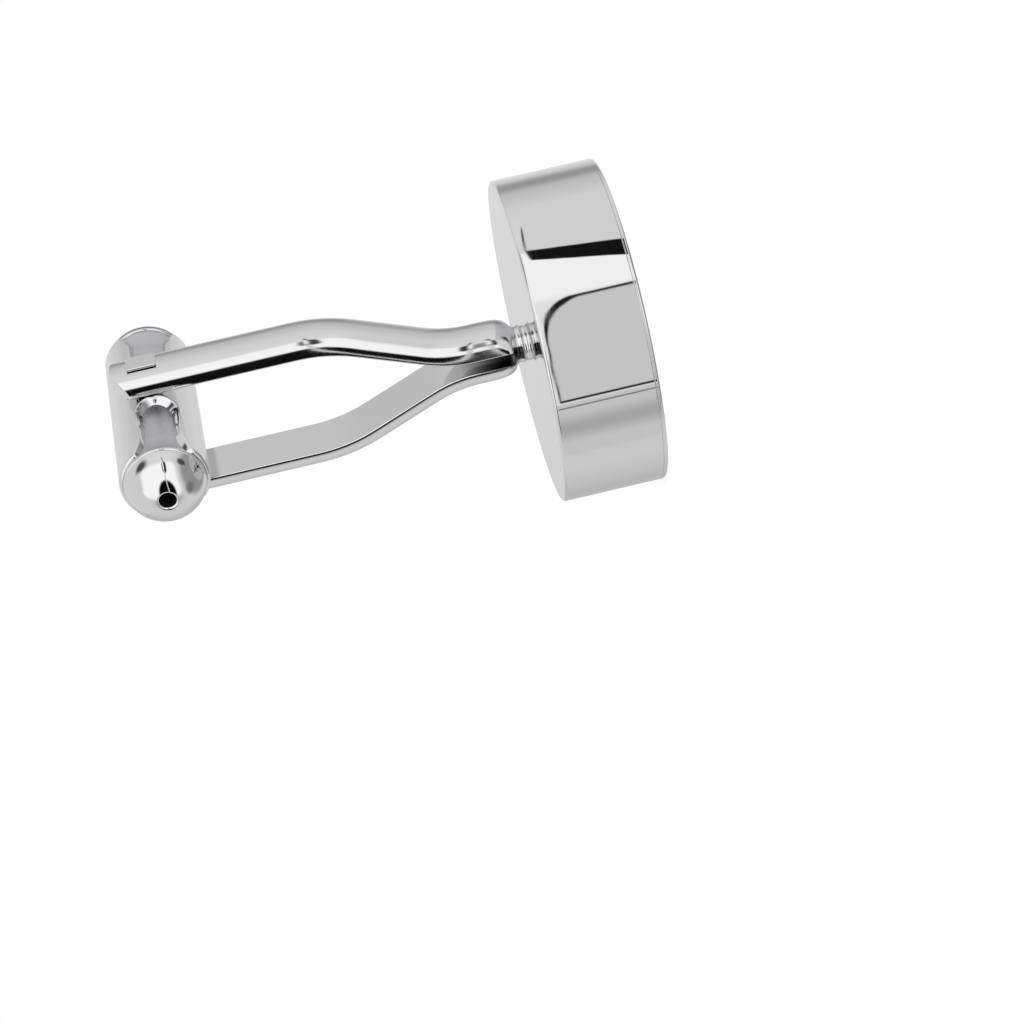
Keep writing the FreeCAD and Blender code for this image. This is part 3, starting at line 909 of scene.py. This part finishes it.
class CUFFLINK_OT_sleeve(bpy.types.Operator):
    """Roll the toggle's sleeve with its bell-shaped windows and pin bores"""

    bl_idname = "cufflink.sleeve"
    bl_label = "Toggle sleeve"

    def execute(self, context):
        s = sizes()
        half, edge, bore = s.bar_half, s.bar_edge, s.sleeve_bore - s.lip_sink
        near = grid_lines([(0.0, FINE_STEP), (s.pin_corner + edge, PLAIN_STEP),
                           (s.arch_start - edge, FINE_STEP), (half - edge, BRINK_STEP), (half, BRINK_STEP)])
        rows = [-along for along in reversed(near[1:])] + near
        angles = [math.radians(angle) for angle in grid_lines(ROUND_STEPS)[:-1]]
        shell, moved, tilt = Shell(), Vector(bar_centre(s)), SLOPE_STEP
        outer, inner, facing = {}, {}, {}
        for row, along in enumerate(rows):
            ahead, behind = min(along + tilt, half), max(along - tilt, -half)
            for step, angle in enumerate(angles):
                spot, radius = (row, step), sleeve_radius(s, along, angle)
                slope = (sleeve_radius(s, ahead, angle) - sleeve_radius(s, behind, angle)) / (ahead - behind)
                swing = sleeve_radius(s, along, angle + tilt) - sleeve_radius(s, along, angle - tilt)
                out, onward = across_bar(1.0, 0.0, angle), across_bar(1.0, 0.0, angle + math.pi / 2)
                tipped = out - onward * swing / (2 * tilt * radius) - Vector((0, slope, 0))
                facing[spot] = tipped.normalized()
                outer[spot] = inner[spot] = shell.add_point(across_bar(bore, along, angle) + moved)
                if radius >= bore + TINY:
                    outer[spot] = shell.add_point(across_bar(radius, along, angle) + moved)
        count = len(angles)
        for row in range(len(rows) - 1):
            for step in range(count):
                following = (step + 1) % count
                spots = [(row, step), (row, following), (row + 1, following), (row + 1, step)]
                top, lining = [outer[spot] for spot in spots], [inner[spot] for spot in spots]
                if top != lining:
                    shell.add_face(top, [facing[spot] for spot in spots])
                    shell.add_face(lining, [-across_bar(1.0, 0.0, angles[turn]) for _, turn in spots])
        for row, way in ((0, -1.0), (len(rows) - 1, 1.0)):
            for step in range(count):
                here, following = (row, step), (row, (step + 1) % count)
                corners = [outer[here], outer[following], inner[following], inner[here]]
                corners = list(dict.fromkeys(corners))  # where a window reaches the end, some are the same
                if len(corners) > 2:
                    shell.add_face(corners, [Vector((0, way, 0))] * len(corners))
        add_piece(shell.mesh("toggle_sleeve_polished"), mirror_plating(), "toggle", "toggle_sleeve")
        return {"FINISHED"}


class CUFFLINK_OT_core(bpy.types.Operator):
    """Turn the waisted core that shows through the sleeve's windows"""

    bl_idname = "cufflink.core"
    bl_label = "Toggle core"

    def execute(self, context):
        s, turns = sizes(), context.scene.cufflink_finish.turns
        half, bore, outer, waist = s.bar_half, s.core_bore, s.sleeve_bore, s.waist_arc
        near, far = s.waist_from, half - s.mouth_length
        rise, run = s.mouth_rise, s.mouth_length
        flare = (rise * rise + run * run) / (rise * 2)
        tube = turned([(bore, -half), (outer + rise, -half), (outer, -far), (outer, -near), (outer, near),
                       (outer, far), (outer + rise, half), (bore, half)],
                      {1: -flare, 2: -waist, 4: -waist, 5: -flare}, across_bar, turns, shift=bar_centre(s))
        mesh, normals = carved("toggle_core_satin", tube.mesh("core"), [bore_cutter(s)])
        add_piece(mesh, satin_plating(), "toggle", "toggle_core", normals)
        return {"FINISHED"}


class CUFFLINK_OT_noses(bpy.types.Operator):
    """Turn the two domed noses with their rings and tip holes"""

    bl_idname = "cufflink.noses"
    bl_label = "Noses"

    def execute(self, context):
        s, turns = sizes(), context.scene.cufflink_finish.turns
        half, ring, turn, hole, rim = s.bar_half, s.ring_radius, s.ring_round, s.nose_hole, s.hole_edge
        end, start, tip = s.ring_end, s.dome_start, s.bar_tip
        groove, dome, bore = ring - s.ring_groove, ring - s.dome_step, s.core_bore - s.nose_wall
        seat, cavity = half - s.spigot_length, half + s.nose_cavity
        outline = [(bore, seat), (s.core_bore, seat), (s.core_bore, half), (ring - turn, half),
                   (ring, half + turn), (ring, end - turn), (ring - turn, end), (groove, end),
                   (groove, start), (dome, start), (hole + rim, tip), (hole, tip - rim), (hole, cavity),
                   (bore, cavity - hole)]
        axis = Vector(bar_centre(s)) * MILLIMETRE
        for node, side in (("near_nose", -1), ("far_nose", 1)):
            arcs = {3: turn * side, 5: turn * side, 9: s.dome_arc * side, 10: rim * side}
            shell = turned([(radius, along * side) for radius, along in outline], arcs, across_bar, turns,
                           shift=bar_centre(s))
            piece = add_piece(shell.mesh(node + "_polished"), mirror_plating(), "toggle", node)
            # Faces inside the tip holes take the painted hole shade as their second material.
            piece.data.materials.append(tip_hole_shade())
            for face in piece.data.polygons:
                away = face.center - axis
                inward = away.x * face.normal.x + away.z * face.normal.z < 0
                face.material_index = int(inward and abs(away.y) < (tip - rim) * MILLIMETRE)
        return {"FINISHED"}


class CUFFLINK_OT_spring(bpy.types.Operator):
    """Finish the hairpin spring inside the toggle"""

    bl_idname = "cufflink.spring"
    bl_label = "Detent spring"

    def execute(self, context):
        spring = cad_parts["detent_spring"]
        spring.data.materials.clear()
        spring.data.materials.append(spring_strip())
        return {"FINISHED"}


CAMERA_PLACE = (0.0795765, -0.1282516, 0.0176502)
CAMERA_RIGHT = (-0.153588, -0.179888, -0.971623)
CAMERA_UP = (0.803356, 0.549799, -0.22878)
CAMERA_LENS = 96.8
SENSOR = 36.0
CLIP = (0.002, 20.0)


def add_camera():
    """The camera, turned on its side so that the stem lies across the picture."""
    data = bpy.data.cameras.new("camera")
    data.lens = CAMERA_LENS
    data.sensor_width = SENSOR
    data.clip_start, data.clip_end = CLIP
    camera = bpy.data.objects.new("camera", data)
    bpy.context.scene.collection.objects.link(camera)
    right, up = Vector(CAMERA_RIGHT).normalized(), Vector(CAMERA_UP)
    up = (up - right * up.dot(right)).normalized()
    turn = Matrix((right, up, right.cross(up))).transposed()
    camera.matrix_world = Matrix.Translation(CAMERA_PLACE) @ turn.to_4x4()
    bpy.context.scene.camera = camera


WHITE = (1.0, 1.0, 1.0, 1.0)


class Card(NamedTuple):
    """A card or flag of the studio, in degrees of azimuth and elevation as the cufflink sees it.

    The corner gives the two radii of its round corners, soft blurs its outline, and level is its light.
    A cut ends the card at an azimuth, and leans by so many degrees of azimuth for each of elevation.
    """

    azimuth: tuple
    elevation: tuple
    corner: tuple
    soft: float
    level: float
    cut: float = None
    lean: float = 0.0


# In the order they hang, the nearest last: the dark under the table, a dark fold behind, the lit wall, the
# opening for the camera, dark seams above and below, and a flag.
WIDE_CARDS = (
    Card((-400, 400), (-120, -48), (20, 14), 0.6, 0.4),
    Card((160, 176), (-22, 22), (8, 12), 0.8, 0.42),
    Card((-25, 78), (-36, 60), (20, 15), 0.4, 1.35),
    Card((-41, 27), (-22, 18), (34, 20), 0.14, 0.005),
    Card((82, 112), (32, 64), (14, 16), 0.5, 0.1),
    Card((72, 98), (-62, -42), (12, 9), 0.5, 0.1),
    Card((-58, -14), (-68, -44), (18, 10), 0.6, 0.25),
    Card((46, 80), (-13, -2.5), (12, 4.5), 0.35, 0.04),
)
# Low on the horizon, where mostly the side of the head mirrors them: a lit strip, a black flag with a thin
# tail and the light card that trims it, a lit strip, a dark frame round a pale panel, and folds beside it.
LOW_CARDS = (
    Card((50, 94), (-9, -4.7), (4, 0.06), 0.3, 1.3),
    Card((74, 135), (-9, -4.92), (28, 0.7), 0.03, 0.01, 75.5, 5.9),
    Card((70, 136), (-9, -4.97), (5, 0.05), 0.1, 0.92, 88, 3.6),
    Card((-33, 57), (-9, -4.75), (10, 0.06), 0.3, 1.1),
    Card((-90, 56.2), (-9, -4.93), (25, 0.72), 0.03, 0.02, -15.7),
    Card((-90, 54.4), (-9, -4.97), (30, 0.9), 0.03, 0.82, -14),
    Card((-60, -16.6), (-9, -4.75), (0.6, 0.06), 0.5, 0.8),
    Card((-44, -29), (-9, -4.6), (7.5, 0.1), 0.9, 0.56),
    Card((-20.6, -19.4), (-9, -4.85), (0.6, 0.06), 0.5, 0.3),
)
# The low cards' lowest edge, and the height at which a cut's azimuth is given, with its blur.
LOW_FOOT = -7.13
CUT_LEVEL = -7.0
CUT_SOFT = 0.6
# The tent's folds as (azimuth, light), its plain light, and the heights between which the folds fade to it.
TENT_LEVEL = 0.88
FOLD_FADE = (20.0, 40.0)
TENT_FOLDS = ((-180, 0.75), (-165, 0.88), (-148, 0.76), (-135, 0.58), (-115, 0.62), (-95, 0.76), (-75, 0.86),
              (-54, 0.84), (-36, 0.58), (-26, 0.78), (95, 1.0), (134, 0.92), (154, 0.72), (180, 0.75))


def hang_card(tree, place, under, card):
    """Paints a card with round corners over what hangs behind it."""
    sides, none = (card.azimuth, card.elevation), (0.0, 0.0, 0.0)
    centre = [(high + low) / 2 for low, high in sides]
    inset = [(high - low) / 2 - corner for (low, high), corner in zip(sides, card.corner)]
    away = place
    for operation, value in (("SUBTRACT", (*centre, 0.0)), ("ABSOLUTE", none), ("SUBTRACT", (*inset, 0.0)),
                             ("MAXIMUM", none), ("DIVIDE", (*card.corner, 1.0)), ("LENGTH", none)):
        away = add_node(tree, "ShaderNodeVectorMath", {"operation": operation}, {0: away, 1: value})
    cover = add_node(tree, "ShaderNodeMapRange", {"interpolation_type": "SMOOTHSTEP"}, {
        "Value": away.outputs["Value"], "From Min": 1 - card.soft, "From Max": 1 + card.soft,
        "To Min": 1.0, "To Max": 0.0})
    if card.cut is not None:
        along = add_node(tree, "ShaderNodeVectorMath", {"operation": "DOT_PRODUCT"},
                         {0: place, 1: (1.0, -card.lean, 0.0)})
        edge = card.cut - card.lean * CUT_LEVEL
        kept = add_node(tree, "ShaderNodeMapRange", {"interpolation_type": "SMOOTHSTEP"}, {
            "Value": along.outputs["Value"], "From Min": edge - CUT_SOFT, "From Max": edge + CUT_SOFT})
        cover = add_node(tree, "ShaderNodeMath", {"operation": "MULTIPLY"}, {0: cover, 1: kept})
    painted = add_node(tree, "ShaderNodeMix", {"data_type": "FLOAT"}, {0: cover, 2: under, 3: card.level})
    return painted.outputs[0]


def studio_world():
    """A white tent, white to the camera and on the floor. The metal mirrors its folds, cards and flags."""
    world = bpy.data.worlds.new("white_tent")
    bpy.context.scene.world = world
    world.use_nodes = True
    tree = world.node_tree
    tree.nodes.clear()
    place = add_node(tree, "ShaderNodeTexCoord")
    split = add_node(tree, "ShaderNodeSeparateXYZ", inputs={"Vector": place.outputs["Generated"]})
    front = add_node(tree, "ShaderNodeMath", {"operation": "MULTIPLY"}, {0: split.outputs["Y"], 1: -1.0})
    turn = add_node(tree, "ShaderNodeMath", {"operation": "ARCTAN2"}, {0: split.outputs["X"], 1: front})
    azimuth = add_node(tree, "ShaderNodeMath", {"operation": "DEGREES"}, {0: turn})
    rise = add_node(tree, "ShaderNodeMath", {"operation": "ARCSINE"}, {0: split.outputs["Z"]})
    elevation = add_node(tree, "ShaderNodeMath", {"operation": "DEGREES"}, {0: rise})
    seen = add_node(tree, "ShaderNodeCombineXYZ", inputs={"X": azimuth, "Y": elevation})
    share = add_node(tree, "ShaderNodeMapRange", inputs={
        "Value": azimuth, "From Min": -180.0, "From Max": 180.0})
    folds = add_node(tree, "ShaderNodeValToRGB", inputs={"Fac": share})
    stops = folds.color_ramp.elements
    while len(stops) < len(TENT_FOLDS):
        stops.new(0.5)
    for stop, (angle, level) in zip(stops, TENT_FOLDS):
        stop.position = (angle + 180) / 360
        stop.color = (level, level, level, 1.0)
    height = add_node(tree, "ShaderNodeMath", {"operation": "ABSOLUTE"}, {0: elevation})
    smooth = add_node(tree, "ShaderNodeMapRange", {"interpolation_type": "SMOOTHSTEP"}, {
        "Value": height, "From Min": FOLD_FADE[0], "From Max": FOLD_FADE[1]})
    tent = add_node(tree, "ShaderNodeMix", {"data_type": "FLOAT"}, {0: smooth, 2: folds, 3: TENT_LEVEL})
    level = tent.outputs[0]
    for card in WIDE_CARDS:
        level = hang_card(tree, seen, level, card)
    low = level
    for card in LOW_CARDS:
        low = hang_card(tree, seen, low, card)
    above = add_node(tree, "ShaderNodeMath", {"operation": "GREATER_THAN"}, {0: elevation, 1: LOW_FOOT})
    level = add_node(tree, "ShaderNodeMix", {"data_type": "FLOAT"}, {0: above, 2: level, 3: low}).outputs[0]
    path = add_node(tree, "ShaderNodeLightPath")
    mirrored = add_node(tree, "ShaderNodeBackground", inputs={"Color": WHITE, "Strength": level})
    plain = add_node(tree, "ShaderNodeBackground", inputs={"Color": WHITE, "Strength": 1.0})
    mix = add_node(tree, "ShaderNodeMixShader", inputs={
        "Fac": path.outputs["Is Glossy Ray"], 1: plain, 2: mirrored})
    add_node(tree, "ShaderNodeOutputWorld", inputs={"Surface": mix})


# How much of the floor's white is its own glow to the camera. The rest keeps the object's shadow.
PAPER_GLOW = 0.7
FLOOR_HALF = 4.0
SOFTBOX_SIZE = 0.25
SOFTBOX_POWER = 1.0
SOFTBOX_PLACE = (0.15, -0.1, 0.4)


def paper_floor():
    """Seamless white paper: matt, and bright enough to run into the white behind it."""
    material, tree = new_material("seamless_white_paper")
    paper = add_node(tree, "ShaderNodeBsdfDiffuse", inputs={"Color": tint("floor")})
    glow = add_node(tree, "ShaderNodeEmission", inputs={"Color": WHITE, "Strength": 1.0})
    path = add_node(tree, "ShaderNodeLightPath")
    share = add_node(tree, "ShaderNodeMath", {"operation": "MULTIPLY"},
                     {0: path.outputs["Is Camera Ray"], 1: PAPER_GLOW})
    mix = add_node(tree, "ShaderNodeMixShader", inputs={"Fac": share, 1: paper, 2: glow})
    add_node(tree, "ShaderNodeOutputMaterial", inputs={"Surface": mix})
    return material


class CUFFLINK_OT_stage(bpy.types.Operator):
    """Set the floor, the lamps, the white studio and the camera"""

    bl_idname = "cufflink.stage"
    bl_label = "Stage"

    def execute(self, context):
        corners = [(x * FLOOR_HALF, y * FLOOR_HALF, 0.0) for x, y in ((-1, -1), (1, -1), (1, 1), (-1, 1))]
        mesh = bpy.data.meshes.new("floor")
        mesh.from_pydata(corners, [], [(0, 1, 2, 3)])
        mesh.materials.append(paper_floor())
        floor = bpy.data.objects.new("floor", mesh)
        context.scene.collection.objects.link(floor)
        floor.visible_glossy = False
        lamp = bpy.data.lights.new("softbox", "AREA")
        lamp.shape = "DISK"
        lamp.size = SOFTBOX_SIZE
        lamp.energy = SOFTBOX_POWER
        softbox = bpy.data.objects.new("softbox", lamp)
        context.scene.collection.objects.link(softbox)
        softbox.location = SOFTBOX_PLACE
        softbox.rotation_euler = (-softbox.location).to_track_quat("-Z", "Y").to_euler()
        softbox.visible_glossy = False
        studio_world()
        add_camera()
        context.scene.view_settings.view_transform = "Standard"
        return {"FINISHED"}


class CUFFLINK_PT_panel(bpy.types.Panel):
    """Lists the steps that build the cufflink"""

    bl_idname = "CUFFLINK_PT_panel"
    bl_label = "Cufflink"
    bl_space_type = "VIEW_3D"
    bl_region_type = "UI"
    bl_category = "Cufflink"

    def draw(self, context):
        for step in STEPS:
            self.layout.operator(step.bl_idname)
        for group in (context.scene.cufflink_sizes, context.scene.cufflink_finish):
            for key in type(group).__annotations__:
                self.layout.prop(group, key)


STEPS = (CUFFLINK_OT_head, CUFFLINK_OT_stud, CUFFLINK_OT_fork, CUFFLINK_OT_pin, CUFFLINK_OT_sleeve,
         CUFFLINK_OT_core, CUFFLINK_OT_noses, CUFFLINK_OT_spring, CUFFLINK_OT_stage)
CLASSES = (CufflinkSizes, CufflinkFinish) + STEPS + (CUFFLINK_PT_panel,)


def register():
    """Registers the classes and gives the scene its settings."""
    for item in CLASSES:
        bpy.utils.register_class(item)
    bpy.types.Scene.cufflink_sizes = PointerProperty(type=CufflinkSizes)
    bpy.types.Scene.cufflink_finish = PointerProperty(type=CufflinkFinish)


def unregister():
    """Takes the settings and the classes away again."""
    del bpy.types.Scene.cufflink_finish
    del bpy.types.Scene.cufflink_sizes
    for item in reversed(CLASSES):
        bpy.utils.unregister_class(item)


def main():
    """Builds the cufflink piece by piece."""
    register()
    bpy.ops.cufflink.head()
    bpy.ops.cufflink.stud()
    bpy.ops.cufflink.fork()
    bpy.ops.cufflink.pin()
    bpy.ops.cufflink.sleeve()
    bpy.ops.cufflink.core()
    bpy.ops.cufflink.noses()
    bpy.ops.cufflink.spring()
    bpy.ops.cufflink.stage()


if __name__ == "__main__":
    main()
